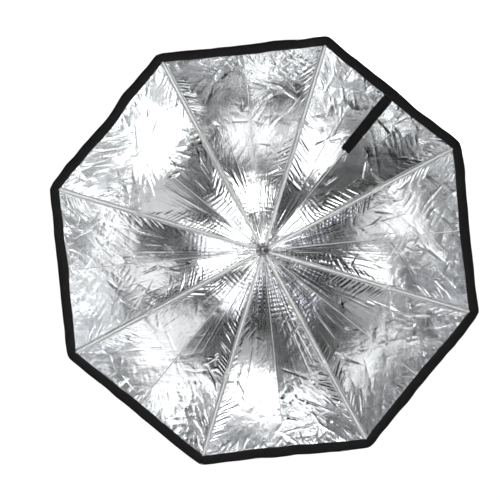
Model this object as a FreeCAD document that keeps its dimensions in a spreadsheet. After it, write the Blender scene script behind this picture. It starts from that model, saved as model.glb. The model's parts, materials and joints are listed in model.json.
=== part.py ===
import FreeCAD, Part
import math
import os
import Sketcher
from FreeCAD import Placement, Rotation, Vector

# Folding octagonal softbox (octabox) on an umbrella frame, in millimetres.
#
# Row frame: +Z up, the shaft lies along Y, the open front faces -Y and the origin is the middle of
# the shaft's grip. Every piece is drawn in the frame's own axes first, where z runs along the shaft
# from its front tip towards the crown, and its Placement then turns that z onto the row's +Y.

doc = FreeCAD.newDocument("octabox")

DIMENSIONS = [
    # shaft, an 8 mm tube that an umbrella bracket holds by its front stretch
    ("shaft_radius", 4.0),
    ("shaft_bore_radius", 3.0),
    ("shaft_front", -180.0),
    ("shaft_back", 424.0),
    ("grip_end", 180.0),
    ("groove_width", 2.0),
    ("groove_radius", 3.7),
    ("cap_length", 3.0),
    ("cap_plug_length", 12.0),
    ("cap_plug_radius", 2.95),
    ("cap_edge", 0.3),
    # crown, the notched wheel that the ribs hinge on
    ("crown_z", 415.0),
    ("crown_radius", 14.0),
    ("crown_half_thickness", 3.6),
    ("crown_notch_floor", 6.2),
    ("crown_pivot_radius", 9.5),
    ("notch_half", 1.5),
    ("notch_reach", 30.0),
    ("pin_radius", 0.95),
    ("pin_hole_radius", 1.0),
    ("pin_length", 7.0),
    # runner, the notched slide that the stretchers meet
    ("runner_z", 227.4),
    ("runner_radius", 13.5),
    ("runner_half_thickness", 4.0),
    ("runner_notch_floor", 8.4),
    ("runner_pivot_radius", 11.0),
    ("runner_bore_radius", 4.1),
    ("runner_sleeve_radius", 7.0),
    ("runner_sleeve_length", 26.0),
    ("runner_grip_radius", 8.4),
    ("runner_grip_length", 18.0),
    # catch, a leaf spring in the shaft that stops the open runner
    ("catch_front", 177.4),
    ("catch_back", 196.9),
    ("catch_width", 2.0),
    ("catch_reach", 6.6),
    ("catch_leaf_inner", 1.4),
    ("catch_leaf_outer", 2.8),
    ("catch_slot_width", 2.6),
    ("catch_slot_front", 185.4),
    ("catch_edge", 0.3),
    # ribs, round rods bent to one arc
    ("rib_count", 8),
    ("rib_arc_radius", 458.4),
    ("rib_sweep", 54.5),
    ("rib_radius", 1.9),
    ("rib_start", 1.0),
    ("eye_radius", 2.8),
    ("eye_thickness", 2.5),
    ("neck_length", 12.0),
    ("neck_depth", 3.8),
    ("tip_radius", 2.35),
    ("tip_length", 15.0),
    ("tip_overhang", 1.5),
    # joint clips on the ribs, and the stretchers between them and the runner
    ("joint_angle", 31.08),
    ("joint_offset", 8.0),
    ("clip_radius", 3.7),
    ("clip_length", 13.0),
    ("lug_thickness", 2.6),
    ("lug_web", 5.0),
    ("lug_radius", 2.9),
    ("peg_radius", 1.2),
    ("peg_length", 6.4),
    ("stretcher_length", 258.0),
    ("stretcher_radius", 1.75),
    ("fork_gap", 3.0),
    ("fork_width", 6.2),
    ("fork_radius", 2.9),
    ("fork_length", 14.0),
    ("fork_slot", 16.0),
    ("peg_hole_length", 10.0),
    ("fork_hole_radius", 1.27),
    ("tongue_thickness", 2.4),
    ("tongue_radius", 2.2),
    ("tongue_length", 11.0),
    ("tongue_reach", 14.0),
    # canopy, black outside and silver inside, in one sector per rib
    ("canopy_arc_radius", 462.5),
    ("canopy_thickness", 1.0),
    ("canopy_start", 0.4),
    ("canopy_sweep", 57.6),
    ("half_gore", 22.5),
    ("gore_reach", 165.0),
    ("sector_gap", 0.15),
    ("band_thickness", 1.5),
    ("band_sweep", 3.72),
    ("slit_sweep", 22.2),
    ("slit_strip_width", 9.0),
    # clamp at the back of the crown
    ("washer_radius", 17.0),
    ("washer_thickness", 1.6),
    ("washer_z", 420.5),
    ("ferrule_radius", 11.0),
    ("ferrule_length", 14.0),
    ("ferrule_wall", 2.0),
    ("ferrule_bore_depth", 2.0),
]

sheet = doc.addObject("Spreadsheet::Sheet", "Dimensions")
for row, (alias, size) in enumerate(DIMENSIONS, 1):
    sheet.set(f"A{row}", alias)
    sheet.set(f"B{row}", str(size))
    sheet.setAlias(f"B{row}", alias)
doc.recompute()

# the shaft's z axis lies along the row's +Y
SHAFT_AXIS = Placement(Vector(), Rotation(Vector(1, 0, 0), -90))
ROOM = 600.0  # size of the blocks that trim the sectors, larger than any piece


def value(alias):
    return getattr(sheet, alias)


def cell(text):
    """Turns words of the sheet into a full expression: 'a + b' becomes 'Dimensions.a + Dimensions.b'."""
    words = {alias for alias, _ in DIMENSIONS}
    return " ".join(f"Dimensions.{x}" if x in words else x for x in text.split())


def number(text):
    """What a sum of the sheet's words and plain numbers comes to now."""
    total, sign = 0.0, 1.0
    for token in text.split():
        if token in ("+", "-"):
            sign = 1.0 if token == "+" else -1.0
        else:
            total += sign * (value(token) if token[0].isalpha() else float(token))
    return total


def at_z(z):
    return SHAFT_AXIS * Placement(Vector(0, 0, z), Rotation())


def spoke(index):
    """Placement of rib number index + 1: the row's +X turned 22.5 degrees up, then on in eighths."""
    angle = value("half_gore") + 360.0 / value("rib_count") * index
    return SHAFT_AXIS * Placement(Vector(), Rotation(Vector(0, 0, 1), -angle))


def primitive(kind, name, sizes, base=(0, 0, 0), turn=None):
    """A Part primitive whose sizes are bound to the sheet, placed in the piece's own axes."""
    shape = doc.addObject(kind, name)
    for key, text in sizes.items():
        shape.setExpression(key, cell(text))
    rotation = turn if turn else Rotation()
    shape.Placement = Placement(Vector(*base), rotation)
    return shape


def centred_box(name, length, width, height, centre, turn=None):
    """A box on centre: length, width and height are expressions, centre is in millimetres."""
    rotation = turn if turn else Rotation()
    half = Vector(number(length) / 2, number(width) / 2, number(height) / 2)
    base = Vector(*centre) - rotation.multVec(half)
    sizes = {"Length": length, "Width": width, "Height": height}
    return primitive("Part::Box", name, sizes, tuple(base), rotation)


def cross_pin(name, radius, length, centre):
    """A cylinder along y, the tangential direction, centred on centre."""
    turn = Rotation(Vector(1, 0, 0), -90)
    base = Vector(*centre) - Vector(0, number(length) / 2, 0)
    sizes = {"Radius": radius, "Height": length}
    return primitive("Part::Cylinder", name, sizes, tuple(base), turn)


def fused(name, shapes):
    union = doc.addObject("Part::MultiFuse", name)
    union.Shapes = shapes
    return union


def cut(name, base, tool):
    difference = doc.addObject("Part::Cut", name)
    difference.Base = base
    difference.Tool = tool
    return difference


def common(name, base, tool):
    shared = doc.addObject("Part::Common", name)
    shared.Base = base
    shared.Tool = tool
    return shared


def origin_plane(body, role):
    return next(f for f in body.Origin.OriginFeatures if f.Role == role)


def outline(sketch, points):
    """A closed polygon whose corners are bound to the sheet; points are pairs of expressions."""
    numbers = [Vector(number(x), number(y), 0) for x, y in points]
    count = len(points)
    for i in range(count):
        sketch.addGeometry(Part.LineSegment(numbers[i], numbers[(i + 1) % count]), False)
    for i in range(count):
        sketch.addConstraint(Sketcher.Constraint("Coincident", i, 2, (i + 1) % count, 1))
    for i, corner in enumerate(points):
        for kind, text, size in zip(("DistanceX", "DistanceY"), corner, numbers[i]):
            if abs(size) < 1e-9:
                other = -2 if kind == "DistanceX" else -1
                sketch.addConstraint(Sketcher.Constraint("PointOnObject", i, 1, other))
            else:
                row = sketch.addConstraint(Sketcher.Constraint(kind, -1, 1, i, 1, size))
                sketch.setExpression(f"Constraints[{row}]", cell(text))


def sketch_in(body, role, name, points):
    sketch = body.newObject("Sketcher::SketchObject", name)
    sketch.AttachmentSupport = (origin_plane(body, role), [""])
    sketch.MapMode = "FlatFace"
    outline(sketch, points)
    return sketch


def turned_body(name, points):
    """A body revolved about the shaft's axis from a half section of (radius, z) corners."""
    body = doc.addObject("PartDesign::Body", name)
    sketch = sketch_in(body, "XZ_Plane", f"{name}_section", points)
    turn = body.newObject("PartDesign::Revolution", f"{name}_turn")
    turn.Profile = sketch
    turn.ReferenceAxis = (sketch, ["V_Axis"])
    turn.Angle = 360
    body.Tip = turn
    return body


def notched(body, name, floor):
    """Cuts one open radial notch per rib through the wheel, from the floor radius outwards."""
    profile = [
        (floor, "- notch_half"),
        ("notch_reach", "- notch_half"),
        ("notch_reach", "notch_half"),
        (floor, "notch_half"),
    ]
    sketch = sketch_in(body, "XY_Plane", f"{name}_notch_outline", profile)
    pocket = body.newObject("PartDesign::Pocket", f"{name}_notch")
    pocket.Profile = sketch
    pocket.Type = "ThroughAll"
    pocket.Midplane = True
    body.Tip = pocket
    doc.recompute()
    pattern = body.newObject("PartDesign::PolarPattern", f"{name}_notches")
    pattern.Originals = [pocket]
    pattern.Axis = (sketch, ["N_Axis"])
    pattern.Angle = 360
    pattern.setExpression("Occurrences", cell("rib_count"))
    body.Tip = pattern
    doc.recompute()
    return pattern


pieces = []


def keep(piece, label, placement):
    """Names a finished piece and sets it in the row frame."""
    piece.Label = label
    piece.Placement = placement
    pieces.append(piece)


# --- shaft ---------------------------------------------------------------------------------------

groove_end = "grip_end + groove_width"
shaft_body = turned_body(
    "ShaftTube",
    [
        ("shaft_bore_radius", "shaft_front"),
        ("shaft_radius", "shaft_front"),
        ("shaft_radius", "grip_end"),
        ("groove_radius", "grip_end"),
        ("groove_radius", groove_end),
        ("shaft_radius", groove_end),
        ("shaft_radius", "shaft_back"),
        ("shaft_bore_radius", "shaft_back"),
    ],
)
catch_slot = centred_box(
    "CatchSlot",
    "shaft_radius",
    "catch_slot_width",
    "catch_back - catch_slot_front",
    (value("shaft_radius"), 0, (value("catch_back") + value("catch_slot_front")) / 2),
)
keep(cut("ShaftSlotted", shaft_body, catch_slot), "shaft_tube", SHAFT_AXIS)

cap_body = turned_body(
    "EndCap",
    [
        ("0", "shaft_front - cap_length"),
        ("groove_radius", "shaft_front - cap_length"),
        ("shaft_radius - cap_edge", "shaft_front - cap_length + cap_edge"),
        ("shaft_radius - cap_edge", "shaft_front"),
        ("cap_plug_radius", "shaft_front"),
        ("cap_plug_radius", "shaft_front + cap_plug_length"),
        ("0", "shaft_front + cap_plug_length"),
    ],
)
keep(cap_body, "shaft_end_cap", SHAFT_AXIS)

# --- crown, its hinge pins and the clamp behind it -----------------------------------------------

crown_body = turned_body(
    "Crown",
    [
        ("shaft_radius", "- crown_half_thickness"),
        ("crown_radius", "- crown_half_thickness"),
        ("crown_radius", "crown_half_thickness"),
        ("shaft_radius", "crown_half_thickness"),
    ],
)
notched(crown_body, "Crown", "crown_notch_floor")


def pin_ring(name, radius):
    """Eight short cylinders across the crown's notches, on the ribs' hinge axes."""
    pins = []
    for index in range(int(value("rib_count"))):
        turn = Placement(Vector(), Rotation(Vector(0, 0, 1), 360.0 / value("rib_count") * index))
        pin = cross_pin(f"{name}_{index + 1}", radius, "pin_length", (value("crown_pivot_radius"), 0, 0))
        pin.Placement = turn * pin.Placement
        pins.append(pin)
    return fused(name, pins)


FIRST_SPOKE = Placement(Vector(), Rotation(Vector(0, 0, 1), -value("half_gore")))
crown_place = at_z(value("crown_z")) * FIRST_SPOKE
crown_holes = pin_ring("CrownHoles", "pin_hole_radius")
keep(cut("CrownDrilled", crown_body, crown_holes), "crown", crown_place)
keep(pin_ring("CrownPins", "pin_radius"), "crown_hinge_pins", crown_place)

washer_body = turned_body(
    "Washer",
    [
        ("shaft_radius", "0"),
        ("washer_radius", "0"),
        ("washer_radius", "washer_thickness"),
        ("shaft_radius", "washer_thickness"),
    ],
)
keep(washer_body, "back_washer", at_z(value("washer_z")))

ferrule_body = turned_body(
    "Ferrule",
    [
        ("shaft_radius", "0"),
        ("ferrule_radius", "0"),
        ("ferrule_radius", "ferrule_length - ferrule_wall"),
        ("ferrule_radius - ferrule_wall", "ferrule_length"),
        ("0", "ferrule_length"),
        ("0", "ferrule_bore_depth"),
        ("shaft_radius", "ferrule_bore_depth"),
    ],
)
keep(ferrule_body, "back_ferrule", at_z(value("washer_z") + value("washer_thickness")))

# --- runner and the catch that holds it open -----------------------------------------------------

runner_body = turned_body(
    "Runner",
    [
        ("runner_bore_radius", "- runner_half_thickness - runner_sleeve_length"),
        ("runner_sleeve_radius", "- runner_half_thickness - runner_sleeve_length"),
        ("runner_sleeve_radius", "- runner_half_thickness"),
        ("runner_radius", "- runner_half_thickness"),
        ("runner_radius", "runner_half_thickness"),
        ("runner_bore_radius", "runner_half_thickness"),
    ],
)
notched(runner_body, "Runner", "runner_notch_floor")
runner_place = at_z(value("runner_z")) * FIRST_SPOKE
keep(runner_body, "runner", runner_place)

runner_front = "- runner_half_thickness - runner_sleeve_length"
grip_body = turned_body(
    "RunnerGrip",
    [
        ("runner_sleeve_radius", runner_front),
        ("runner_grip_radius", runner_front),
        ("runner_grip_radius", f"{runner_front} + runner_grip_length"),
        ("runner_sleeve_radius", f"{runner_front} + runner_grip_length"),
    ],
)
keep(grip_body, "runner_grip", runner_place)

# a leaf inside the tube whose beak stands out through the slot, flat towards the runner
catch_sketch = doc.addObject("Sketcher::SketchObject", "CatchOutline")
catch_sketch.Placement = Placement(Vector(), Rotation(Vector(1, 0, 0), 90))
outline(
    catch_sketch,
    [
        ("catch_leaf_inner", "catch_front"),
        ("catch_leaf_outer", "catch_front"),
        ("catch_leaf_outer", "catch_slot_front + catch_edge"),
        ("catch_reach", "catch_back - catch_edge - catch_edge"),
        ("catch_reach", "catch_back - catch_edge"),
        ("catch_leaf_inner", "catch_back - catch_edge"),
    ],
)
catch_leaf = doc.addObject("Part::Extrusion", "CatchLeaf")
catch_leaf.Base = catch_sketch
catch_leaf.DirMode = "Custom"
catch_leaf.Dir = Vector(0, 1, 0)
catch_leaf.setExpression("LengthFwd", cell("catch_width"))
catch_leaf.Symmetric = True
catch_leaf.Solid = True
keep(catch_leaf, "catch_spring", SHAFT_AXIS)

# --- ribs with their joint clips and tips, and the stretchers ------------------------------------

ARC_CENTRE = Vector(value("crown_pivot_radius"), 0, value("crown_z") - value("rib_arc_radius"))
PIVOT = Vector(value("crown_pivot_radius"), 0, value("crown_z"))


def on_arc(radius, degrees):
    """The point of a spoke's plane on an arc about ARC_CENTRE, degrees on from the crown."""
    angle = math.radians(degrees)
    return ARC_CENTRE + Vector(radius * math.sin(angle), 0, radius * math.cos(angle))


def along_arc(degrees):
    """Turns a piece's z onto the arc's direction of travel away from the crown."""
    return Rotation(Vector(0, 1, 0), 90 + degrees)


def rod_along(name, radius, length, start, degrees):
    """A cylinder that starts at start and runs along the arc's direction there."""
    sizes = {"Radius": radius, "Height": length}
    return primitive("Part::Cylinder", name, sizes, tuple(start), along_arc(degrees))


def bent_rod(name):
    """The rib's rod, and the bore that the rod fills in its clip and tip."""
    sizes = {"Radius1": "rib_arc_radius", "Radius2": "rib_radius", "Angle3": "rib_sweep - rib_start"}
    # a torus starts on its own x and turns about its z: x is laid on the rod's start and z on y
    lay_down = Rotation(Vector(0, 1, 0), value("rib_start") - 90) * Rotation(Vector(1, 0, 0), -90)
    return primitive("Part::Torus", name, sizes, tuple(ARC_CENTRE), lay_down)


def make_rib(name):
    rod = bent_rod(f"{name}_rod")
    neck_middle = PIVOT + Vector(number("neck_length") / 2, 0, 0)
    neck = centred_box(f"{name}_neck", "neck_length", "eye_thickness", "neck_depth", neck_middle)
    eye = cross_pin(f"{name}_eye", "eye_radius", "eye_thickness", PIVOT)
    hole = cross_pin(f"{name}_hole", "pin_hole_radius", "pin_length", PIVOT)
    return cut(name, fused(f"{name}_solid", [rod, neck, eye]), hole)


def make_tip(name):
    """A moulded cap over the end of the rod, rounded off beyond it."""
    end_angle = value("rib_sweep")
    end = on_arc(value("rib_arc_radius"), end_angle)
    direction = along_arc(end_angle).multVec(Vector(0, 0, 1))
    start = end - direction * (value("tip_length") - value("tip_overhang"))
    sleeve = rod_along(f"{name}_sleeve", "tip_radius", "tip_length", start, end_angle)
    nose_centre = end + direction * value("tip_overhang")
    nose = primitive("Part::Sphere", f"{name}_nose", {"Radius": "tip_radius"}, tuple(nose_centre))
    return fused(f"{name}_blank", [sleeve, nose])


def make_clip(name):
    """A sleeve on the rod with a lug towards the shaft and a peg through the lug."""
    angle = value("joint_angle")
    middle = on_arc(value("rib_arc_radius"), angle)
    direction = along_arc(angle).multVec(Vector(0, 0, 1))
    start = middle - direction * (value("clip_length") / 2)
    pivot = on_arc(value("rib_arc_radius") - value("joint_offset"), angle)
    sleeve = rod_along(f"{name}_sleeve", "clip_radius", "clip_length", start, angle)
    web_middle = (middle + pivot) * 0.5
    tilt = Rotation(Vector(0, 1, 0), angle)
    web = centred_box(
        f"{name}_web", "lug_web", "lug_thickness", "joint_offset", web_middle, tilt
    )
    lug = cross_pin(f"{name}_lug", "lug_radius", "lug_thickness", pivot)
    peg = cross_pin(f"{name}_peg", "peg_radius", "peg_length", pivot)
    return fused(f"{name}_blank", [sleeve, web, lug, peg])


def make_stretcher(name):
    """A rod along x from its fork at the origin to the flat tongue that sits in the runner."""
    quarter = Rotation(Vector(0, 1, 0), 90)
    rod_start = (number("fork_length") - value("fork_radius"), 0, 0)
    rod = primitive(
        "Part::Cylinder",
        f"{name}_rod",
        {"Radius": "stretcher_radius", "Height": "stretcher_length - fork_length - tongue_length"},
        rod_start,
        quarter,
    )
    yoke_middle = (number("fork_length") / 2, 0, 0)
    yoke_sizes = ("fork_length", "fork_width", "fork_radius + fork_radius")
    yoke = centred_box(f"{name}_yoke", *yoke_sizes, yoke_middle)
    knuckle = cross_pin(f"{name}_knuckle", "fork_radius", "fork_width", (0, 0, 0))
    tongue_middle = (value("stretcher_length") - number("tongue_reach") / 2, 0, 0)
    tongue_sizes = ("tongue_reach", "tongue_thickness", "tongue_radius + tongue_radius")
    tongue = centred_box(f"{name}_tongue", *tongue_sizes, tongue_middle)
    end = cross_pin(f"{name}_end", "tongue_radius", "tongue_thickness", (value("stretcher_length"), 0, 0))
    solid = fused(f"{name}_solid", [rod, yoke, knuckle, tongue, end])
    gap = centred_box(f"{name}_gap", "fork_slot", "fork_gap", "fork_slot", (0, 0, 0))
    hole = cross_pin(f"{name}_hole", "fork_hole_radius", "peg_hole_length", (0, 0, 0))
    return cut(name, solid, fused(f"{name}_cuts", [gap, hole]))


# the stretcher runs from the clip's peg to its notch in the runner
CLIP_PIVOT = on_arc(value("rib_arc_radius") - value("joint_offset"), value("joint_angle"))
RUNNER_PIVOT = Vector(value("runner_pivot_radius"), 0, value("runner_z"))
reach = RUNNER_PIVOT - CLIP_PIVOT
stretcher_turn = math.degrees(math.atan2(-reach.z, reach.x))
STRETCHER_PLACE = Placement(CLIP_PIVOT, Rotation(Vector(0, 1, 0), stretcher_turn))

# --- canopy, its rim band and the closure of the slit --------------------------------------------

HALF_GORE = value("half_gore")


def ring_sector(name, inner, outer, start, end):
    """A sketch in the spoke's plane between two arcs about ARC_CENTRE and two angles from the crown."""
    profile = doc.addObject("Sketcher::SketchObject", name)
    profile.Placement = Placement(Vector(), Rotation(Vector(1, 0, 0), 90))
    centre = Vector(ARC_CENTRE.x, ARC_CENTRE.z, 0)
    first, last = math.radians(90 - number(end)), math.radians(90 - number(start))
    arcs = []
    for radius in (outer, inner):
        circle = Part.Circle(centre, Vector(0, 0, 1), number(radius))
        arcs.append(Part.ArcOfCircle(circle, first, last))
    profile.addGeometry(arcs, False)
    for angle in (first, last):
        ray = Vector(math.cos(angle), math.sin(angle), 0)
        line = Part.LineSegment(centre + ray * number(inner), centre + ray * number(outer))
        profile.addGeometry(line, False)
    for line, arc_end in ((2, 1), (3, 2)):
        profile.addConstraint(Sketcher.Constraint("Coincident", line, 2, 0, arc_end))
        profile.addConstraint(Sketcher.Constraint("Coincident", line, 1, 1, arc_end))
        profile.addConstraint(Sketcher.Constraint("PointOnObject", 0, 3, line))
    profile.addConstraint(Sketcher.Constraint("Coincident", 0, 3, 1, 3))
    bound = [
        (Sketcher.Constraint("DistanceX", -1, 1, 0, 3, centre.x), "crown_pivot_radius"),
        (Sketcher.Constraint("DistanceY", -1, 1, 0, 3, centre.y), "crown_z - rib_arc_radius"),
        (Sketcher.Constraint("Radius", 0, number(outer)), outer),
        (Sketcher.Constraint("Radius", 1, number(inner)), inner),
        (Sketcher.Constraint("Angle", 2, first), f"( 90 - ( {end} ) ) * 1deg"),
        (Sketcher.Constraint("Angle", 3, last), f"( 90 - ( {start} ) ) * 1deg"),
    ]
    for constraint, text in bound:
        row = profile.addConstraint(constraint)
        profile.setExpression(f"Constraints[{row}]", cell(text))
    return profile


def trimming_block(name, side, gap, far=False):
    """A block that fills the space on one side of the middle of a gore, gap short of it or beyond it."""
    turn = Rotation(Vector(0, 0, 1), side * HALF_GORE)
    towards = -1 if (side > 0) != far else 1
    width = ROOM if towards > 0 else -ROOM
    corner = Vector(-ROOM / 2, min(0, width) - side * gap, -ROOM / 2)
    block = doc.addObject("Part::Box", name)
    block.Length, block.Width, block.Height = ROOM * 2, ROOM, ROOM * 2
    block.Placement = Placement(turn.multVec(corner), turn)
    return block


def half_gore(name, profile, side):
    """The profile carried straight across from the rib to beyond the middle of the gore."""
    across = Rotation(Vector(0, 0, 1), side * HALF_GORE).multVec(Vector(0, side, 0))
    half = doc.addObject("Part::Extrusion", name)
    half.Base = profile
    half.DirMode = "Custom"
    half.Dir = across
    half.setExpression("LengthFwd", cell("gore_reach"))
    half.Solid = True
    return half


def make_sector(name, inner, outer, start, end):
    """Both half gores beside one rib, as one shell, cut just short of the gores' middles."""
    profile = ring_sector(f"{name}_profile", inner, outer, start, end)
    halves = [half_gore(f"{name}_half_{n}", profile, side) for n, side in ((1, 1), (2, -1))]
    gap = value("sector_gap")
    blocks = [trimming_block(f"{name}_trim_{n}", side, gap) for n, side in ((1, 1), (2, -1))]
    wedge = common(f"{name}_wedge", *blocks)
    return common(name, fused(f"{name}_both", halves), wedge)


def make_strip(name, side):
    """One half of the slit's closure: a strip inside the canopy along the middle of the gore."""
    start = "canopy_sweep - band_sweep - slit_sweep"
    profile = ring_sector(
        f"{name}_profile",
        "canopy_arc_radius - band_thickness",
        "canopy_arc_radius",
        start,
        "canopy_sweep - band_sweep",
    )
    half = half_gore(f"{name}_half", profile, side)
    near = trimming_block(f"{name}_near", side, value("sector_gap"))
    far = trimming_block(f"{name}_far", side, value("slit_strip_width"), far=True)
    return common(name, half, common(f"{name}_slab", near, far))


count = int(value("rib_count"))
for index in range(count):
    tag = index + 1
    place = spoke(index)
    keep(make_rib(f"Rib{tag}"), f"rib_{tag}", place)
    clip = make_clip(f"Clip{tag}")
    tip = make_tip(f"Tip{tag}")
    for blank, label, part_name in ((clip, f"rib_clip_{tag}", "Clip"), (tip, f"rib_tip_{tag}", "Tip")):
        bore = bent_rod(f"{part_name}{tag}_bore")
        keep(cut(f"{part_name}{tag}", blank, bore), label, place)
    keep(make_stretcher(f"Stretcher{tag}"), f"stretcher_{tag}", place * STRETCHER_PLACE)
    skin = make_sector(
        f"Canopy{tag}",
        "canopy_arc_radius",
        "canopy_arc_radius + canopy_thickness",
        "canopy_start",
        "canopy_sweep",
    )
    keep(skin, f"canopy_{tag}", place)
    band = make_sector(
        f"Band{tag}",
        "canopy_arc_radius - band_thickness",
        "canopy_arc_radius",
        "canopy_sweep - band_sweep",
        "canopy_sweep",
    )
    keep(band, f"rim_band_{tag}", place)

# the slit is in the lowest gore, between the two ribs beside -Z
keep(make_strip("SlitHook", -1), "slit_hook_strip", spoke(5))
keep(make_strip("SlitLoop", 1), "slit_loop_strip", spoke(6))

# --- checks and export ---------------------------------------------------------------------------

doc.recompute()
for item in doc.Objects:
    if {"Invalid", "Error"} & set(item.State):
        raise RuntimeError(f"{item.Name} did not build: {item.State}")
os.makedirs("parts", exist_ok=True)
for piece in pieces:
    shape = piece.Shape
    if shape.isNull() or not shape.isValid() or len(shape.Solids) < 1:
        raise RuntimeError(f"{piece.Label} has no valid solid")
for piece in pieces:
    piece.Shape.exportStep(f"parts/{piece.Label}.step")
    print(f"{piece.Label:18s} {len(piece.Shape.Solids)} solid {piece.Shape.Volume:11.1f} mm3")
print(len(pieces), "pieces")
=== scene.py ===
import json
import math
import bpy
import numpy as np
from mathutils import Matrix, Vector


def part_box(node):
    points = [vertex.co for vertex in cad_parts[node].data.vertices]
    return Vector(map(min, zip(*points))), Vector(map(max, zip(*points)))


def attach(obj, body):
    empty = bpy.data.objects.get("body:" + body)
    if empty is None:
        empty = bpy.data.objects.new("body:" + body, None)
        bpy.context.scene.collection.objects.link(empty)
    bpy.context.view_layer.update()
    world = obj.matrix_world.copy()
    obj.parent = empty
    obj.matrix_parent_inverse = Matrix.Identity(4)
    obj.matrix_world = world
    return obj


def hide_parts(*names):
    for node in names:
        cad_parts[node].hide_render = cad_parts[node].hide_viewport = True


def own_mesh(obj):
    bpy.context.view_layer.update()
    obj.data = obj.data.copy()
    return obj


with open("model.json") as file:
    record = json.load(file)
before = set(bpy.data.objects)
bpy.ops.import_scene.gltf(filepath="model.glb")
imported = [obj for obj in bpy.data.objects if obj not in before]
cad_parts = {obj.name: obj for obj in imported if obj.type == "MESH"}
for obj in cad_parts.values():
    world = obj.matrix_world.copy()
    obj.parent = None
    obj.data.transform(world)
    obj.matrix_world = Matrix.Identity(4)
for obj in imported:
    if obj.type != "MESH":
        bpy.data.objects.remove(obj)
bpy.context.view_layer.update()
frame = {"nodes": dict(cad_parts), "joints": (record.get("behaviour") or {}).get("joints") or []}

# --- the canopy's shape, read from the frame ------------------------------------------------------

RIBS = 8
HALF = math.pi / RIBS  # half of the angle between two ribs
SIN_HALF, COS_HALF = math.sin(HALF), math.cos(HALF)
HINGES = {j["child"]: Vector(j["pos_m"]) for j in frame["joints"] if j["type"] == "hinge"}
HINGE_RADIUS = math.hypot(HINGES["rib_1"].x, HINGES["rib_1"].z)

SKIN = 0.001  # thickness of the canopy's CAD shell
RIM_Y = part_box("rim_band_1")[0].y
APEX_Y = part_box("canopy_1")[1].y - SKIN
ARC = 0.4625  # radius of the arc that the lining follows along a rib
ARC_Y = APEX_Y - ARC
SWEEP = math.radians(57.6)  # the arc's turn from the apex to the rim
LENGTH = ARC * SWEEP  # from the apex to the rim along the lining
START = 0.0045  # the lining's hole round the shaft, along the arc
BAND_WIDTH = 0.030
BAND_START = LENGTH - BAND_WIDTH
TUCK = 0.004  # how far the strips and seams run on under the band
SLIT_START = ARC * math.radians(33.6)
SLIT_RIBS = (6, 7)  # the slit is in the gore between these ribs


def profile(arc):
    """Radius and place along the shaft of a rib's line on the lining, arc metres from the apex."""
    turn = arc / ARC
    return HINGE_RADIUS + ARC * np.sin(turn), ARC_Y + ARC * np.cos(turn)


def half_width(arc):
    """Half of a gore's width, in metres, at arc metres from the apex."""
    return profile(arc)[0] * SIN_HALF


def directions(angle):
    """Outward and onward directions across the shaft at an angle from +X towards +Z."""
    out = np.array([math.cos(angle), 0, math.sin(angle)])
    on = np.array([-math.sin(angle), 0, math.cos(angle)])
    return out, on


def rib_angle(rib):
    """A rib's angle from +X towards +Z."""
    return HALF + 2 * HALF * (rib - 1)


def gore_beside(rib, side):
    """The gore on the onward (side 1) or backward (side -1) side of a rib; gore n is after rib n."""
    return rib if side > 0 else (rib - 2) % RIBS + 1


# --- noise and wrinkles ---------------------------------------------------------------------------


def lattice(ix, iy, seed):
    """A repeatable random number from 0 to 1 for each whole-numbered point; its odd factors mix the bits."""
    n = (ix * 374761393 + iy * 668265263 + seed * 974634777) & 0xFFFFFFFF
    n = ((n ^ (n >> 13)) * 1274126177) & 0xFFFFFFFF
    return ((n ^ (n >> 16)) & 0xFFFF) / 65535.0


def noise(x, y, seed):
    """Smooth value noise from -1 to 1 with features one unit wide."""
    ix, iy = np.floor(x), np.floor(y)
    fx, fy = x - ix, y - iy
    ux, uy = fx * fx * (3 - 2 * fx), fy * fy * (3 - 2 * fy)
    ix, iy = ix.astype(np.int64), iy.astype(np.int64)
    low = lattice(ix, iy, seed) * (1 - ux) + lattice(ix + 1, iy, seed) * ux
    high = lattice(ix, iy + 1, seed) * (1 - ux) + lattice(ix + 1, iy + 1, seed) * ux
    return 2 * (low * (1 - uy) + high * uy) - 1


def line_noise(x, width, row, seed):
    """Noise along one line, with features width metres wide; row tells the lines of a seed apart."""
    return noise(x / width, x * 0 + row, seed)


def folds(x, y, seed):
    """Sharp-backed folds: 1 on a fold's back, falling away to both sides."""
    return 1 - 2 * np.sqrt(np.abs(noise(x, y, seed)) + 0.004)


def turned(x, y, degrees):
    """The coordinates x and y in axes turned by an angle."""
    c, s = math.cos(math.radians(degrees)), math.sin(math.radians(degrees))
    return c * x + s * y, c * y - s * x


def add_stroke(height, x, y, start, end, width, depth):
    """Adds one wrinkle from start to end: a rounded ridge that fades at both ends."""
    line = (end[0] - start[0], end[1] - start[1])
    length = math.hypot(*line)
    margin = 3 * width
    near = (x > min(start[0], end[0]) - margin) & (x < max(start[0], end[0]) + margin)
    near &= (y > min(start[1], end[1]) - margin) & (y < max(start[1], end[1]) + margin)
    px, py = x[near] - start[0], y[near] - start[1]
    along = (px * line[0] + py * line[1]) / length
    across = (px * line[1] - py * line[0]) / length
    share = np.clip(along / length, 0, 1)
    taper = np.sin(math.pi * share**0.7)
    height[near] += depth * taper * np.exp(-((across / width) ** 2))


# for each gore: how far its middle stands in from the straight lines between its ribs (metres), how
# strong its ripples and pleats are (0 to 1), and its seed
GORES = {
    1: (0.010, 0.30, 11),
    2: (0.010, 0.30, 23),
    3: (0.011, 0.80, 37),
    4: (0.008, 0.90, 41),
    5: (0.009, 0.90, 59),
    6: (0.011, 0.60, 67),
    7: (0.009, 0.15, 73),
    8: (0.010, 0.60, 89),
}
CREASES, LOOSE_FOLDS = 16, 26  # how many of each a gore has


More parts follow.
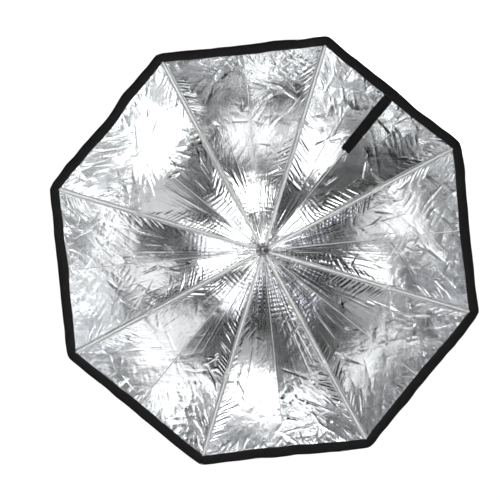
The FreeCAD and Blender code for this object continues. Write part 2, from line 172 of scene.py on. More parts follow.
def rib_wrinkles(rng):
    """Parallel wrinkles that lean from both ribs towards the apex."""
    strokes = []
    for side in (-1, 1):
        arc = 0.020
        phase = rng.uniform(0, 6)
        while arc < BAND_START - 0.004:
            edge = side * half_width(arc)
            strength = 0.5 + 0.5 * math.sin(arc / 0.035 + phase)
            longest = min(0.045, 0.7 * abs(edge))
            reach = rng.uniform(0.5, 1.0) * longest * (0.4 + 0.6 * strength) + 0.004
            lean = math.radians(62 + 14 * math.sin(arc / 0.07 + 2 * phase) + rng.normal(0, 4))
            start = (edge - side * 0.002, arc)
            end = (start[0] - side * math.sin(lean) * reach, arc - math.cos(lean) * reach)
            depth = (0.0004 + 0.0009 * strength) * rng.uniform(0.4, 1.2) * (0.5 + 1.2 * arc)
            strokes.append((start, end, rng.uniform(0.0014, 0.0024), depth))
            arc += rng.uniform(0.0050, 0.0095)
    return strokes


def band_puckers(rng):
    """Puckers that run in from the band."""
    strokes = []
    rim_half = half_width(LENGTH)
    place = -rim_half + 0.004
    while place < rim_half - 0.004:
        reach = rng.uniform(0.010, 0.045)
        lean = rng.normal(0, 0.30) - 0.5 * place / rim_half
        start = (place, BAND_START + 0.003)
        end = (place + math.sin(lean) * reach, start[1] - math.cos(lean) * reach)
        strokes.append((start, end, rng.uniform(0.0013, 0.0030), rng.uniform(-0.0010, 0.0014)))
        place += rng.uniform(0.004, 0.011)
    return strokes


def long_creases(rng):
    """Long fine creases that fan out from above the apex."""
    strokes = []
    for _ in range(CREASES):
        arc = rng.uniform(0.07, 0.26)
        lean = rng.uniform(-0.8, 0.8)
        end_arc = min(arc + rng.uniform(0.06, 0.16), BAND_START)
        start = (lean * 0.9 * half_width(arc), arc)
        end = (lean * half_width(end_arc), end_arc)
        strokes.append((start, end, rng.uniform(0.0010, 0.0016), rng.uniform(0.0001, 0.0004)))
    return strokes


def loose_folds(rng):
    """Folds in two slanted directions over the whole gore."""
    strokes = []
    for _ in range(LOOSE_FOLDS):
        arc = LENGTH * math.sqrt(rng.uniform(0.05, 0.85))
        start = (rng.uniform(-0.8, 0.8) * half_width(arc), arc)
        turn = rng.choice([0.9, 2.2]) + rng.normal(0, 0.35)
        reach = rng.uniform(0.02, 0.08)
        end = (start[0] + math.cos(turn) * reach, start[1] + math.sin(turn) * reach)
        strokes.append((start, end, rng.uniform(0.0014, 0.0030), rng.uniform(-0.0010, 0.0013)))
    return strokes


def gore_strokes(seed):
    """A gore's wrinkles: (start, end, width, depth), in metres across and along the gore."""
    rng = np.random.default_rng(seed)
    return rib_wrinkles(rng) + band_puckers(rng) + long_creases(rng) + loose_folds(rng)


ROWS, COLUMNS = 270, 88  # the lining's grid: along the rib, and across half a gore
ARCS = np.linspace(START, LENGTH, ROWS)
ACROSS = np.linspace(-1, 1, 2 * COLUMNS + 1)


def gore_height(gore):
    """How far the lining stands in from the straight lines between its ribs, over ARCS by ACROSS."""
    belly, ripple, seed = GORES[gore]
    arc, across = np.meshgrid(ARCS, ACROSS, indexing="ij")
    x = across * half_width(arc)
    from_rib = (1 - np.abs(across)) * half_width(arc)
    # wrinkles die out in the last millimetres before a rib and under the band
    tied = np.clip(from_rib / 0.003, 0, 1) * np.clip((LENGTH - BAND_WIDTH * 0.7 - arc) / 0.006, 0, 1)
    sag = belly * (1 - np.abs(across) ** 1.35) * np.sin(math.pi * np.clip(arc / LENGTH, 0, 1) ** 1.3)
    height = np.zeros_like(arc)
    for start, end, width, depth in gore_strokes(seed):
        add_stroke(height, x, arc, start, end, width, depth * min(0.9, 0.4 + 0.7 * ripple))
    # crumples: finer and stronger towards the rim, gathered in patches
    patch = 0.55 + 0.45 * noise(x / 0.06, arc / 0.08, seed + 9)
    outer = np.clip(arc / LENGTH, 0, 1) ** 1.5
    ax, ay = turned(x, arc, 34)
    bx, by = turned(x, arc, -41)
    height += 0.0007 * patch * outer * folds(ax / 0.017, ay / 0.050, seed + 1)
    height += 0.0004 * patch * outer * folds(bx / 0.011, by / 0.034, seed + 2)
    height += 0.0008 * outer * noise(x / 0.045, arc / 0.060, seed + 3)
    height += 0.00010 * outer * folds(ax / 0.006, by / 0.008, seed + 8)
    # fine pleats that fan out from the apex
    angle = across * 6
    gather = np.exp(-arc / 0.055) * np.clip(arc / 0.02, 0, 1)
    height += 0.0010 * (0.1 + ripple) * gather * noise(angle * 2.3, arc / 0.06, seed + 4)
    height += 0.0004 * (0.1 + ripple) * np.exp(-arc / 0.12) * noise(angle * 3.1, arc / 0.10, seed + 5)
    # ripples across the gore, strongest a little way out from the apex
    bent = arc + 0.25 * np.abs(x) + 0.004 * noise(x / 0.03, arc / 0.05, seed + 6)
    belt = np.exp(-(((arc - 0.08) / 0.055) ** 2)) * (0.5 + 0.5 * noise(x / 0.03, arc / 0.03, seed + 7))
    height += 0.0004 * ripple * belt * np.sin(2 * math.pi * bent / 0.0095)
    # the rim itself waves in and out
    edge = np.clip(arc / LENGTH, 0, 1) ** 7 * (1 - across**6)
    ruffle = 0.0030 * line_noise(x, 0.055, 0.5, seed + 10)
    ruffle = ruffle + 0.0012 * line_noise(x, 0.021, 2.5, seed + 11)
    return sag + tied * height + edge * (0.4 + ripple) * ruffle


HEIGHTS = {gore: gore_height(gore) for gore in GORES}


def lining_height(gore, across, arc):
    """The lining's height at any place in a gore, between the grid's points."""
    row = np.clip((arc - START) / (LENGTH - START) * (ROWS - 1), 0, ROWS - 1.001)
    col = np.clip((across + 1) * COLUMNS, 0, 2 * COLUMNS - 0.001)
    i, j = row.astype(int), col.astype(int)
    u, v = row - i, col - j
    grid = HEIGHTS[gore]
    near = grid[i, j] * (1 - v) + grid[i, j + 1] * v
    far = grid[i + 1, j] * (1 - v) + grid[i + 1, j + 1] * v
    return near * (1 - u) + far * u


def surface(rib, side, share, arc, lift):
    """Points beside a rib: share 0 at the rib to 1 at the gore's middle, lift metres in from the lining."""
    out, _ = directions(rib_angle(rib))
    tilt_out, tilt_on = directions(rib_angle(rib) + side * HALF)
    share, arc = np.broadcast_arrays(np.asarray(share, float), np.asarray(arc, float))
    radius, along = profile(arc)
    turn = np.minimum(arc / ARC, SWEEP)
    axis = np.array([0, 1.0, 0])
    base = radius[..., None] * out + along[..., None] * axis
    base = base + (share * radius * SIN_HALF)[..., None] * side * tilt_on
    # the flat gore's normal, on the side that the bowl opens to
    inward = -np.sin(turn)[..., None] * tilt_out - (np.cos(turn) * COS_HALF)[..., None] * axis
    inward /= np.linalg.norm(inward, axis=-1, keepdims=True)
    across = side * (share - 1)  # from -1 to 1 over the whole gore
    rise = lining_height(gore_beside(rib, side), across, arc) + lift
    return base + rise[..., None] * inward


def joined(halves):
    """The grids of the backward and the onward half gore of a rib as one, with one column on the rib."""
    return np.concatenate([halves[0][:, ::-1], halves[1][:, 1:]], axis=1)


def both_sides(rib, shares, arcs, lift, reach=1.0):
    """A grid over both half gores beside a rib; reach is how much of their width each row takes."""
    halves = []
    for side in (-1, 1):
        arc, share = np.meshgrid(arcs, shares, indexing="ij")
        halves.append(surface(rib, side, share * np.reshape(reach, (-1, 1)), arc, lift))
    return joined(halves)


def placed(name, data):
    """A new object in the scene."""
    thing = bpy.data.objects.new(name, data)
    bpy.context.scene.collection.objects.link(thing)
    return thing


def grid_piece(name, points, finish, metres=None, closed=False):
    """A piece over a grid of points.

    metres are its texture coordinates, or else they are measured over the grid. closed joins its last row
    to its first.
    """
    rows, cols = points.shape[:2]
    index = np.arange(rows * cols).reshape(rows, cols)
    if closed:
        index = np.concatenate([index, index[:1]])
    quads = np.stack([index[:-1, :-1], index[1:, :-1], index[1:, 1:], index[:-1, 1:]], axis=-1)
    quads = quads.reshape(-1, 4)
    mesh = bpy.data.meshes.new(name)
    mesh.vertices.add(rows * cols)
    mesh.vertices.foreach_set("co", points.reshape(-1).astype(np.float32))
    mesh.loops.add(quads.size)
    mesh.loops.foreach_set("vertex_index", quads.ravel())
    mesh.polygons.add(len(quads))
    mesh.polygons.foreach_set("loop_start", np.arange(0, quads.size, 4))
    mesh.update(calc_edges=True)
    mesh.polygons.foreach_set("use_smooth", np.ones(len(quads), dtype=bool))
    if metres is None:
        across = np.linalg.norm(np.diff(points, axis=1, prepend=points[:, :1]), axis=-1)
        along = np.linalg.norm(np.diff(points, axis=0, prepend=points[:1]), axis=-1)
        metres = np.stack([across.cumsum(axis=1), along.cumsum(axis=0)], axis=-1)
    uv = mesh.uv_layers.new(name="metres")
    uv.data.foreach_set("uv", metres.reshape(-1, 2)[quads.ravel()].astype(np.float32).ravel())
    mesh.validate()
    mesh.materials.append(finish)
    return placed(name, mesh)


# --- materials ------------------------------------------------------------------------------------


def material(name):
    """A new material with its nodes, its links and its shader."""
    made = bpy.data.materials.new(name)
    made.use_nodes = True
    tree = made.node_tree
    return made, tree.nodes, tree.links, tree.nodes["Principled BSDF"]


def texture(nodes, links, kind, vector, **values):
    """The height of a noise or wave texture fed by a vector, with values for its other inputs."""
    node = nodes.new(kind)
    for name, value in values.items():
        node.inputs[name].default_value = value
    links.new(vector, node.inputs["Vector"])
    return node.outputs["Fac"]


def stretched(nodes, links, vector, scale, turn=0.0):
    """The vector scaled, and turned about its third axis."""
    node = nodes.new("ShaderNodeMapping")
    node.inputs["Scale"].default_value = scale
    node.inputs["Rotation"].default_value = (0, 0, turn)
    links.new(vector, node.inputs["Vector"])
    return node.outputs["Vector"]


def bumped(nodes, links, shader, layers):
    """Gives a shader a fine relief; layers are (height, strength, distance), the coarsest first."""
    normal = None
    for height, strength, distance in layers:
        bump = nodes.new("ShaderNodeBump")
        bump.inputs["Strength"].default_value = strength
        bump.inputs["Distance"].default_value = distance
        links.new(height, bump.inputs["Height"])
        if normal:
            links.new(normal, bump.inputs["Normal"])
        normal = bump.outputs["Normal"]
    links.new(normal, shader.inputs["Normal"])


def ranged(nodes, links, value, low, high, start, end):
    """The value with its range from start to end mapped onto low to high."""
    node = nodes.new("ShaderNodeMapRange")
    node.inputs["From Min"].default_value = start
    node.inputs["From Max"].default_value = end
    node.inputs["To Min"].default_value = low
    node.inputs["To Max"].default_value = high
    links.new(value, node.inputs["Value"])
    return node.outputs["Result"]


def two_tones(nodes, links, value, dark, light, start, end):
    """A colour from dark to light as the value goes from start to end."""
    ramp = nodes.new("ShaderNodeValToRGB")
    low, high = ramp.color_ramp.elements
    low.position, low.color = start, (*dark, 1)
    high.position, high.color = end, (*light, 1)
    links.new(value, ramp.inputs["Fac"])
    return ramp.outputs["Color"]


def foil_material():
    """Crinkled silver foil: the large wrinkles are in the mesh, the finest in its relief."""
    made, nodes, links, shader = material("silver_foil")
    shader.inputs["Base Color"].default_value = (0.845, 0.858, 0.87, 1)
    shader.inputs["Metallic"].default_value = 1.0
    place = nodes.new("ShaderNodeUVMap").outputs["UV"]
    slanted = stretched(nodes, links, place, (240, 90, 1), 0.6)
    counter = stretched(nodes, links, place, (260, 80, 1), -0.7)
    fine = texture(nodes, links, "ShaderNodeTexNoise", slanted, Scale=1, Detail=3, Roughness=0.55)
    cross = texture(nodes, links, "ShaderNodeTexNoise", counter, Scale=1, Detail=3, Roughness=0.55)
    broad = texture(nodes, links, "ShaderNodeTexNoise", place, Scale=60, Detail=2)
    relief = [(broad, 0.25, 0.0012), (fine, 0.22, 0.0006), (cross, 0.22, 0.0006)]
    bumped(nodes, links, shader, relief)
    patches = texture(nodes, links, "ShaderNodeTexNoise", place, Scale=18, Detail=3)
    links.new(ranged(nodes, links, patches, 0.13, 0.23, 0.3, 0.7), shader.inputs["Roughness"])
    return made


def worn(name, dark, light, roughness, metallic=0.0, scale=(90, 90, 90), bump=0.15):
    """A surface whose colour, gloss and fine relief vary over its length; scale is the grain per metre."""
    made, nodes, links, shader = material(name)
    shader.inputs["Metallic"].default_value = metallic
    place = nodes.new("ShaderNodeTexCoord").outputs["Object"]
    long_grain = stretched(nodes, links, place, scale)
    grain = texture(nodes, links, "ShaderNodeTexNoise", long_grain, Scale=1, Detail=4)
    fine = texture(nodes, links, "ShaderNodeTexNoise", place, Scale=900, Detail=2)
    links.new(two_tones(nodes, links, grain, dark, light, 0.3, 0.7), shader.inputs["Base Color"])
    links.new(ranged(nodes, links, grain, *roughness, 0.3, 0.7), shader.inputs["Roughness"])
    bumped(nodes, links, shader, [(grain, bump, 0.0004), (fine, bump, 0.0001)])
    return made


def cloth(name, dark, light, threads, fuzz, roughness, sheen):
    """Woven or brushed cloth: threads per metre both ways, fuzz is the depth of its nap in metres."""
    made, nodes, links, shader = material(name)
    shader.inputs["Sheen Weight"].default_value = sheen
    shader.inputs["Sheen Roughness"].default_value = 0.5
    shader.inputs["Specular IOR Level"].default_value = 0.2
    place = nodes.new("ShaderNodeTexCoord").outputs["Object"]
    threads_on = nodes.new("ShaderNodeUVMap").outputs["UV"]
    layers = []
    for turn in (0, math.pi / 2):
        rows = stretched(nodes, links, threads_on, (threads, threads, 1), turn)
        weave = texture(nodes, links, "ShaderNodeTexWave", rows, Scale=1, Distortion=0.6, Detail=1)
        layers.append((weave, 0.25, 0.0002))
    nap = texture(nodes, links, "ShaderNodeTexNoise", place, Scale=1400, Detail=3, Roughness=0.7)
    crumple = texture(nodes, links, "ShaderNodeTexNoise", place, Scale=42, Detail=3)
    bumped(nodes, links, shader, [(crumple, 0.35, 0.002), *layers, (nap, 0.5, fuzz)])
    links.new(two_tones(nodes, links, nap, dark, light, 0.35, 0.7), shader.inputs["Base Color"])
    links.new(ranged(nodes, links, crumple, *roughness, 0.3, 0.7), shader.inputs["Roughness"])
    return made


FOIL = foil_material()
BLACK_CLOTH = cloth(
    "black_cloth", (0.004, 0.004, 0.005), (0.012, 0.012, 0.013), threads=160, fuzz=0.0001,
    roughness=(0.5, 0.7), sheen=0.03,
)
TAPE = cloth(
    "black_tape", (0.002, 0.002, 0.002), (0.010, 0.009, 0.010), threads=90, fuzz=0.0004,
    roughness=(0.85, 1.0), sheen=0.05,
)
THREAD = worn(
    "seam_thread", (0.68, 0.68, 0.67), (0.85, 0.85, 0.84), (0.35, 0.6), scale=(500, 500, 500), bump=0.5,
)
STITCH = worn(
    "black_thread", (0.020, 0.020, 0.020), (0.045, 0.045, 0.045), (0.5, 0.7), scale=(800, 800, 800),
    bump=0.5,
)
WHITE_ROD = worn("white_rod", (0.93, 0.93, 0.91), (0.97, 0.97, 0.96), (0.22, 0.42), scale=(60, 60, 60))
WHITE_PLASTIC = worn("white_plastic", (0.80, 0.80, 0.78), (0.88, 0.88, 0.86), (0.28, 0.45))
SILVER_ROD = worn(
    "silver_rod", (0.88, 0.88, 0.86), (0.95, 0.95, 0.93), (0.20, 0.38), metallic=0.1, scale=(60, 60, 60),
)
BRUSHED_TUBE = worn(
    "brushed_tube", (0.13, 0.13, 0.135), (0.20, 0.20, 0.205), (0.28, 0.42), metallic=1.0,
    scale=(260, 8, 260), bump=0.08,
)
STEEL = worn(
    "steel", (0.45, 0.45, 0.46), (0.62, 0.62, 0.63), (0.22, 0.42), metallic=1.0, scale=(300, 300, 300),
)
GREY_PLASTIC = worn("grey_plastic", (0.30, 0.30, 0.31), (0.42, 0.42, 0.43), (0.35, 0.6), bump=0.25)
BLACK_PLASTIC = worn(
    "black_plastic", (0.012, 0.012, 0.012), (0.030, 0.030, 0.030), (0.35, 0.6), bump=0.3,
)

# a CAD node takes the first finish whose key its name starts with
FINISHES = {
    "rib_tip_": WHITE_PLASTIC, "rib_clip_": WHITE_PLASTIC, "rib_": WHITE_ROD,
    "stretcher_": SILVER_ROD,
    "shaft_tube": BRUSHED_TUBE, "shaft_end_cap": BLACK_PLASTIC,
    "crown_hinge_pins": STEEL, "crown": GREY_PLASTIC,
    "runner_grip": BLACK_PLASTIC, "runner": GREY_PLASTIC, "catch_spring": STEEL,
    "back_": BLACK_PLASTIC,
    "canopy_": FOIL, "rim_band_": TAPE, "slit_": TAPE,
}
for name, node in frame["nodes"].items():
    finish = next(finish for start, finish in FINISHES.items() if name.startswith(start))
    node.data.materials.clear()
    node.data.materials.append(finish)

# --- canopy ---------------------------------------------------------------------------------------

KEEP = 0.155  # the share of its width that the canopy has left when the frame is folded
COVER_LIFT = -0.0014  # the cover lies this far outside the lining
# extra layers between the lining and the cover, which keep the back closed when the frame is folded:
# name, end in metres from the apex, lift, width kept, and share of the gore's width at its end
FACINGS = [
    ("cover_facing", 0.400, -0.0012, 0.29, 0.60),
    ("middle_facing", 0.285, -0.0009, 0.40, 0.75),
    ("apex_facing", 0.200, -0.0005, 0.50, 0.80),
]
NARROWING = 0.6  # the share of a facing's length after which it narrows
SHARES = np.linspace(0, 1, COLUMNS + 1)
COARSE_SHARES, COARSE_ARCS = SHARES[::4], ARCS[::3]
TRIMS = {"lining": {}, "cover": {}}  # the pieces that are sewn to each rib's lining and cover


def hang(piece, rib, trims=None, keep=KEEP):
    """Sets a finished canopy piece on its rib, with a mesh of its own when keep is under 1."""
    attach(piece, f"rib_{rib}")
    if keep < 1:
        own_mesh(piece)
    if trims:
        TRIMS[trims].setdefault(rib, []).append(piece)


def metres_over(rib, shares, arcs):
    """Texture coordinates of both half gores beside a rib, in metres over the cloth."""
    gore_apart = 2  # metres between two gores, so that their wrinkles differ
    halves = []
    for side in (-1, 1):
        arc, share = np.meshgrid(arcs, shares, indexing="ij")
        x = side * (share - 1) * half_width(arc)
        halves.append(np.stack([x + gore_apart * gore_beside(rib, side), arc], axis=-1))
    return joined(halves)


def canopy_sheets(rib):
    """A rib's lining, its cover and the facings between them."""
    points = both_sides(rib, SHARES, ARCS, 0.0)
    lining = grid_piece(f"lining_{rib}", points, FOIL, metres_over(rib, SHARES, ARCS))
    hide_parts(f"canopy_{rib}")
    hang(lining, rib)
    points = both_sides(rib, COARSE_SHARES, COARSE_ARCS, COVER_LIFT)
    metres = metres_over(rib, COARSE_SHARES, COARSE_ARCS)
    hang(grid_piece(f"cover_{rib}", points, BLACK_CLOTH, metres), rib)
    for name, end, lift, keep, end_width in FACINGS:
        rows = COARSE_ARCS[COARSE_ARCS < end]
        narrowed = np.clip((rows / end - NARROWING) / (1 - NARROWING), 0, 1)
        points = both_sides(rib, COARSE_SHARES, rows, lift, 1 - (1 - end_width) * narrowed)
        metres = metres_over(rib, COARSE_SHARES, rows)
        facing = grid_piece(f"{name}_{rib}", points, BLACK_CLOTH, metres)
        hang(facing, rib, "cover", keep)


for rib in range(1, RIBS + 1):
    canopy_sheets(rib)

# --- rim band -------------------------------------------------------------------------------------

# the band's section, a soft tape folded over the canopy's edge: metres beyond the rim, and lift
FOLD_SECTION = [
    (-0.0250, 0.0002), (-0.0245, 0.0013), (-0.0228, 0.0020), (-0.0180, 0.0024), (-0.0110, 0.0024),
    (-0.0040, 0.0020), (-0.0008, 0.0012), (0.0006, -0.0004), (-0.0008, -0.0022), (-0.0040, -0.0030),
    (-0.0140, -0.0034), (-0.0270, -0.0030), (-0.0293, -0.0024), (-0.0300, -0.0014),
]
CORNER, CORNER_CUT = 0.012, 0.0022  # a corner is rounded over this length and by this much
BAND_SHARES = np.linspace(0, 1, 61)


def band_points(rib):
    """The band along both half gores beside a rib; its edges and its thickness waver."""
    halves = []
    for side in (-1, 1):
        seed = 7 * gore_beside(rib, side)
        reach = BAND_SHARES * half_width(LENGTH)
        x = side * (reach - half_width(LENGTH))
        wave = 0.0014 * line_noise(x, 0.050, 0.5, seed) + 0.0008 * line_noise(x, 0.018, 3.5, seed)
        inner = 0.0016 * line_noise(x, 0.026, 7.5, seed)
        rounding = CORNER_CUT * np.clip(1 - reach / CORNER, 0, 1) ** 2
        fat = 1 + 0.25 * line_noise(x, 0.030, 9.5, seed)
        rows = []
        for step, lift in FOLD_SECTION:
            outer = 1 + step / BAND_WIDTH
            arc = LENGTH + step + outer * (wave - rounding) + (1 - outer) * inner
            rows.append(surface(rib, side, BAND_SHARES, arc, lift * fat))
        halves.append(np.array(rows))
    return joined(halves)


for rib in range(1, RIBS + 1):
    band = grid_piece(f"band_{rib}", band_points(rib), TAPE, closed=True)
    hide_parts(f"rim_band_{rib}")
    hang(band, rib, "lining")

# --- slit and seams inside ------------------------------------------------------------------------

CLEAR = 0.0002  # a strip's edges lie this far above the lining


def strip(name, rib, side, near, far, arcs, lift, finish, waver, seed):
    """A narrow tape on the lining between two distances from the gore's middle, with rolled edges."""
    columns = np.linspace(0, 1, 7)
    low = near + waver * line_noise(arcs, 0.020, 0.5, seed)
    high = far + waver * line_noise(arcs, 0.017, 5.5, seed)
    distance = low[:, None] + (high - low)[:, None] * columns[None, :]
    share = 1 - distance / half_width(arcs)[:, None]
    dome = lift * (1 - (2 * columns - 1) ** 4)[None, :] + CLEAR
    points = surface(rib, side, share, np.repeat(arcs[:, None], len(columns), axis=1), dome)
    piece = grid_piece(name, points, finish)
    hang(piece, rib, "lining")
    return piece


STRIP_END = 0.0095  # the slit's strips end this far from the gore's middle
slit_arcs = np.linspace(SLIT_START, BAND_START + TUCK, 90)
hook_rib, loop_rib = SLIT_RIBS
hook = strip(
    "slit_hook", hook_rib, 1, -0.0012, STRIP_END, slit_arcs, 0.0018, TAPE,
    waver=0.0006, seed=3,
)
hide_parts("slit_hook_strip")
loop = strip(
    "slit_loop", loop_rib, -1, -0.0004, STRIP_END, slit_arcs, 0.0026, TAPE,
    waver=0.0006, seed=5,
)
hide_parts("slit_loop_strip")

SEAM_START = 0.030  # metres from the apex
MIDDLE_START = 0.016
SEAM_ROWS = 220
POCKET = 0.0066  # from a rib to the seam of its pocket
POCKET_SEAM = 0.0010  # the seam's width
POCKET_SIDES = ((1, "after"), (-1, "before"))
TWO_SEAM_RIBS = (2, 5, 8)  # the others' pockets show one seam


def inner_seams(rib):
    """The seam down the middle of the gore after a rib, and the seams of the rib's pocket."""
    last = SLIT_START if rib == hook_rib else BAND_START + TUCK
    arcs = np.linspace(MIDDLE_START, last, SEAM_ROWS)
    strip(
        f"middle_seam_{rib}", rib, 1, -0.0003, 0.0011, arcs, 0.0010, THREAD,
        waver=0.00015, seed=rib,
    )
    arcs = np.linspace(SEAM_START, BAND_START + TUCK, SEAM_ROWS)
    half = half_width(arcs)
    near = half - np.minimum(POCKET, half * 0.5)
    for side, word in POCKET_SIDES if rib in TWO_SEAM_RIBS else POCKET_SIDES[:1]:
        strip(
            f"pocket_seam_{word}_{rib}", rib, side, near, near + POCKET_SEAM, arcs, 0.0005,
            FOIL, waver=0.0002, seed=rib + 20,
        )


for rib in range(1, RIBS + 1):
    inner_seams(rib)

# --- channels and seams outside -------------------------------------------------------------------

# half of the section of the sewn channel over a rib, and the section of the folded seam down the
# middle of a gore: metres from the rib or from the gore's middle, and how far out it stands from its lift
CHANNEL = [(0.0075, 0.0), (0.0060, 0.0005), (0.0035, 0.0007), (0.0016, 0.0016), (0.0, 0.0020)]
CHANNEL_LIFT = -0.0016
CHANNEL_START = 0.020
OUTER_SEAM = [(0.0, 0.0016), (0.0008, 0.0014), (0.0014, 0.0006), (0.0016, 0.0)]
OUTER_SEAM_LIFT = -0.0015
OUTER_ROWS = 160
OUTER_END = BAND_START + 0.003


def rib_channel(rib):
    """The sewn channel over a rib, which keeps its width as the frame folds, because it holds the rib."""
    arcs = np.linspace(CHANNEL_START, OUTER_END, OUTER_ROWS)
    half = half_width(arcs)
    section = [(-1, *place) for place in CHANNEL] + [(1, *place) for place in CHANNEL[-2::-1]]
    columns = []
    for side, offset, rise in section:
        share = np.minimum(offset, half * 0.6) / half
        columns.append(surface(rib, side, share, arcs, CHANNEL_LIFT - rise))
    channel = grid_piece(f"rib_channel_{rib}", np.stack(columns, axis=1), BLACK_CLOTH)
    hang(channel, rib, "cover", keep=1)


def cover_seam(rib):
    """The folded seam down the middle of the gore after a rib."""
    last = SLIT_START if rib == hook_rib else OUTER_END
    arcs = np.linspace(SEAM_START, last, OUTER_ROWS)
    half = half_width(arcs)
    columns = []
    for offset, rise in OUTER_SEAM:
        columns.append(surface(rib, 1, 1 - offset / half, arcs, OUTER_SEAM_LIFT - rise))
    seam = grid_piece(f"cover_seam_{rib}", np.stack(columns, axis=1), BLACK_CLOTH)
    hang(seam, rib, "cover")


for rib in range(1, RIBS + 1):
    rib_channel(rib)
    cover_seam(rib)

# --- stitches -------------------------------------------------------------------------------------

# two rows of stitches along the band, inside and outside: metres in from the rim, and lift
STITCH_ROWS = [(0.0215, 0.0026), (0.0250, -0.0037)]
STITCH_PITCH, STITCH_LENGTH, STITCH_RADIUS, STITCH_BULGE = 0.0042, 0.0029, 0.00028, 0.0003
RIB_GAP, MIDDLE_GAP = 0.010, 0.004  # the stitches stop this short of a rib and of a gore's middle


def band_stitches(rib):
    """Short threads laid on the band, each two flat faces that rise in the middle."""
    corners, faces = [], []
    width = half_width(LENGTH)
    starts = np.arange(RIB_GAP, width - MIDDLE_GAP, STITCH_PITCH)
    for side in (-1, 1):
        for inset, lift in STITCH_ROWS:
            ends = []
            for shift, bulge in ((0, 0), (STITCH_LENGTH / 2, STITCH_BULGE), (STITCH_LENGTH, 0)):
                share = (starts + shift) / width
                rise = np.full_like(share, lift + bulge * np.sign(lift))
                for step in (-STITCH_RADIUS, STITCH_RADIUS):
                    arc = np.full_like(share, LENGTH - inset + step)
                    ends.append(surface(rib, side, share, arc, rise))
            base = len(corners)
            corners.extend(np.stack(ends, axis=1).reshape(-1, 3).tolist())
            for stitch in range(len(starts)):
                a = base + len(ends) * stitch
                faces.extend([(a, a + 2, a + 3, a + 1), (a + 2, a + 4, a + 5, a + 3)])
    name = f"band_stitches_{rib}"
    mesh = bpy.data.meshes.new(name)
    mesh.from_pydata(corners, [], faces)
    mesh.materials.append(STITCH)
    hang(placed(name, mesh), rib, "lining")


for rib in range(1, RIBS + 1):
    band_stitches(rib)

# --- camera ---------------------------------------------------------------------------------------

ROLL = math.radians(140.9)  # the photograph is turned in its frame
IMAGE_RIGHT = Vector((math.cos(-ROLL), 0, math.sin(-ROLL)))
IMAGE_UP = Vector((math.cos(math.pi / 2 - ROLL), 0, math.sin(math.pi / 2 - ROLL)))
TO_CAMERA = Vector((0, -1, 0))
CAMERA_DISTANCE = 4.0
OFF_CENTRE = IMAGE_UP * 0.001 - IMAGE_RIGHT * 0.0255  # the octabox isn't quite in the image's middle


def look(thing, target, up):
    """Turns a camera or a light at its place to face a target."""
    back = (thing.location - target).normalized()
    right = up.cross(back).normalized()
    turn = Matrix((right, back.cross(right), back)).transposed().to_4x4()
    thing.matrix_world = Matrix.Translation(thing.location) @ turn


camera = placed("camera", bpy.data.cameras.new("camera"))
bpy.context.scene.camera = camera
camera.data.sensor_width = 36
camera.data.lens = 160.8
camera.data.clip_end = 50
camera.location = Vector((0, RIM_Y, 0)) + OFF_CENTRE + TO_CAMERA * CAMERA_DISTANCE
look(camera, camera.location - TO_CAMERA, IMAGE_UP)

# --- light ----------------------------------------------------------------------------------------

BOWL = Vector((0, 0.28, 0))  # the middle of the bowl, which the lights face
LIGHT_DISTANCE = 2.4


def area_light(name, shape, width, height, energy, location):
    """An area light that the camera doesn't see."""
    data = bpy.data.lights.new(name, "AREA")
    data.shape = shape
    data.size, data.size_y = width, height
    data.energy = energy
    light = placed(name, data)
    light.location = location
    light.visible_camera = False
    return light


def softbox(name, lean, turn, width, height, radiance, tint=(1, 1, 1)):
    """A soft light seen from the bowl at lean degrees off the shaft, turn degrees round in the main view."""
    b, a = math.radians(lean), math.radians(turn)
    across = IMAGE_RIGHT * math.cos(a) + IMAGE_UP * math.sin(a)
    way = TO_CAMERA * math.cos(b) + across * math.sin(b)
    energy = radiance * math.pi * math.pi * width * height / 4
    light = area_light(name, "ELLIPSE", width, height, energy, BOWL + way * LIGHT_DISTANCE)
    light.data.color = tint
    look(light, BOWL, TO_CAMERA)


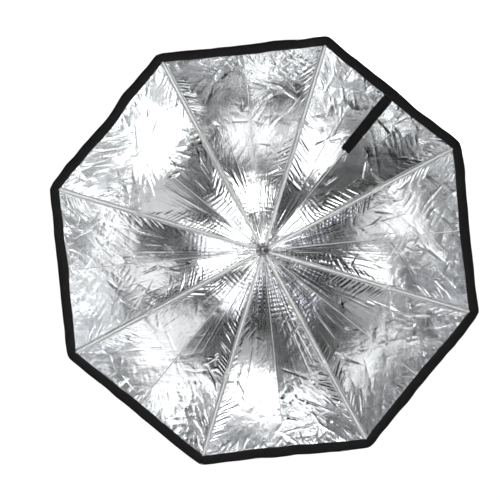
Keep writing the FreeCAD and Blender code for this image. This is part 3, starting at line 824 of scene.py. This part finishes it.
# each part of the foil mirrors the lights on the other side of the shaft, and the further out it is,
# the more they lean
softbox("key", 6, 335, 0.34, 0.34, 23)
softbox("front_high", 10, 150, 0.55, 0.55, 0.8)
softbox("front_right", 20, 356, 0.55, 0.55, 6.5)
softbox("lilac", 32, 150, 0.7, 0.4, 2.6, tint=(0.90, 0.90, 1.0))
softbox("inner_right", 32, 40, 0.9, 0.8, 2.4, tint=(0.96, 0.96, 1.0))
softbox("inner_low", 32, 272, 1.0, 0.75, 6.2)
softbox("inner_low_right", 34, 344, 0.7, 0.5, 3.6)
softbox("inner_high", 34, 64, 0.45, 0.45, 2.4)
softbox("side_right", 62, 0, 1.0, 1.0, 1.31)
softbox("side_high", 62, 60, 1.0, 1.0, 1.09)
softbox("side_high_left", 62, 120, 1.0, 1.0, 0.44)
softbox("side_left", 62, 180, 1.0, 1.0, 0.87)
softbox("side_low_left", 62, 212, 1.0, 1.0, 2.4)
softbox("side_low", 62, 275, 1.1, 1.0, 1.64)
softbox("side_low_right", 62, 300, 1.0, 1.0, 0.76)
softbox("rim_high", 80, 108, 1.1, 1.1, 5.78)
softbox("rim_high_left", 80, 144, 1.1, 1.1, 1.3)
softbox("rim_left", 80, 180, 1.1, 1.1, 1.42)
softbox("rim_low_right", 80, 324, 1.1, 1.1, 4.91)
area_light("ceiling", "RECTANGLE", 5.0, 3.0, 750, (0, 2.4, 2.6))

world = bpy.data.worlds.new("studio")
bpy.context.scene.world = world
world.use_nodes = True
tree = world.node_tree
paths = tree.nodes.new("ShaderNodeLightPath")
mix = tree.nodes.new("ShaderNodeMix")
mix.data_type = "RGBA"
mix.inputs["A"].default_value = (0.01, 0.01, 0.01, 1)  # what the object mirrors
mix.inputs["B"].default_value = (1.05, 1.05, 1.05, 1)  # what the camera sees
tree.links.new(paths.outputs["Is Camera Ray"], mix.inputs["Factor"])
tree.links.new(mix.outputs["Result"], tree.nodes["Background"].inputs["Color"])
bpy.context.scene.view_settings.view_transform = "Standard"

# --- floor ----------------------------------------------------------------------------------------

FLOOR_Z = -0.80
FLOOR_HALF, FLOOR_DEPTH = 3.0, 5.0
FLOOR_CORNERS = [
    (-FLOOR_HALF, 0.0, FLOOR_Z), (FLOOR_HALF, 0.0, FLOOR_Z),
    (FLOOR_HALF, FLOOR_DEPTH, FLOOR_Z), (-FLOOR_HALF, FLOOR_DEPTH, FLOOR_Z),
]
PALE_FLOOR = worn("pale_floor", (0.86, 0.86, 0.86), (0.90, 0.90, 0.90), (0.6, 0.8), scale=(5, 5, 5))
floor_mesh = bpy.data.meshes.new("floor")
floor_mesh.from_pydata(FLOOR_CORNERS, [], [(0, 1, 2, 3)])
floor_mesh.materials.append(PALE_FLOOR)
placed("floor", floor_mesh)
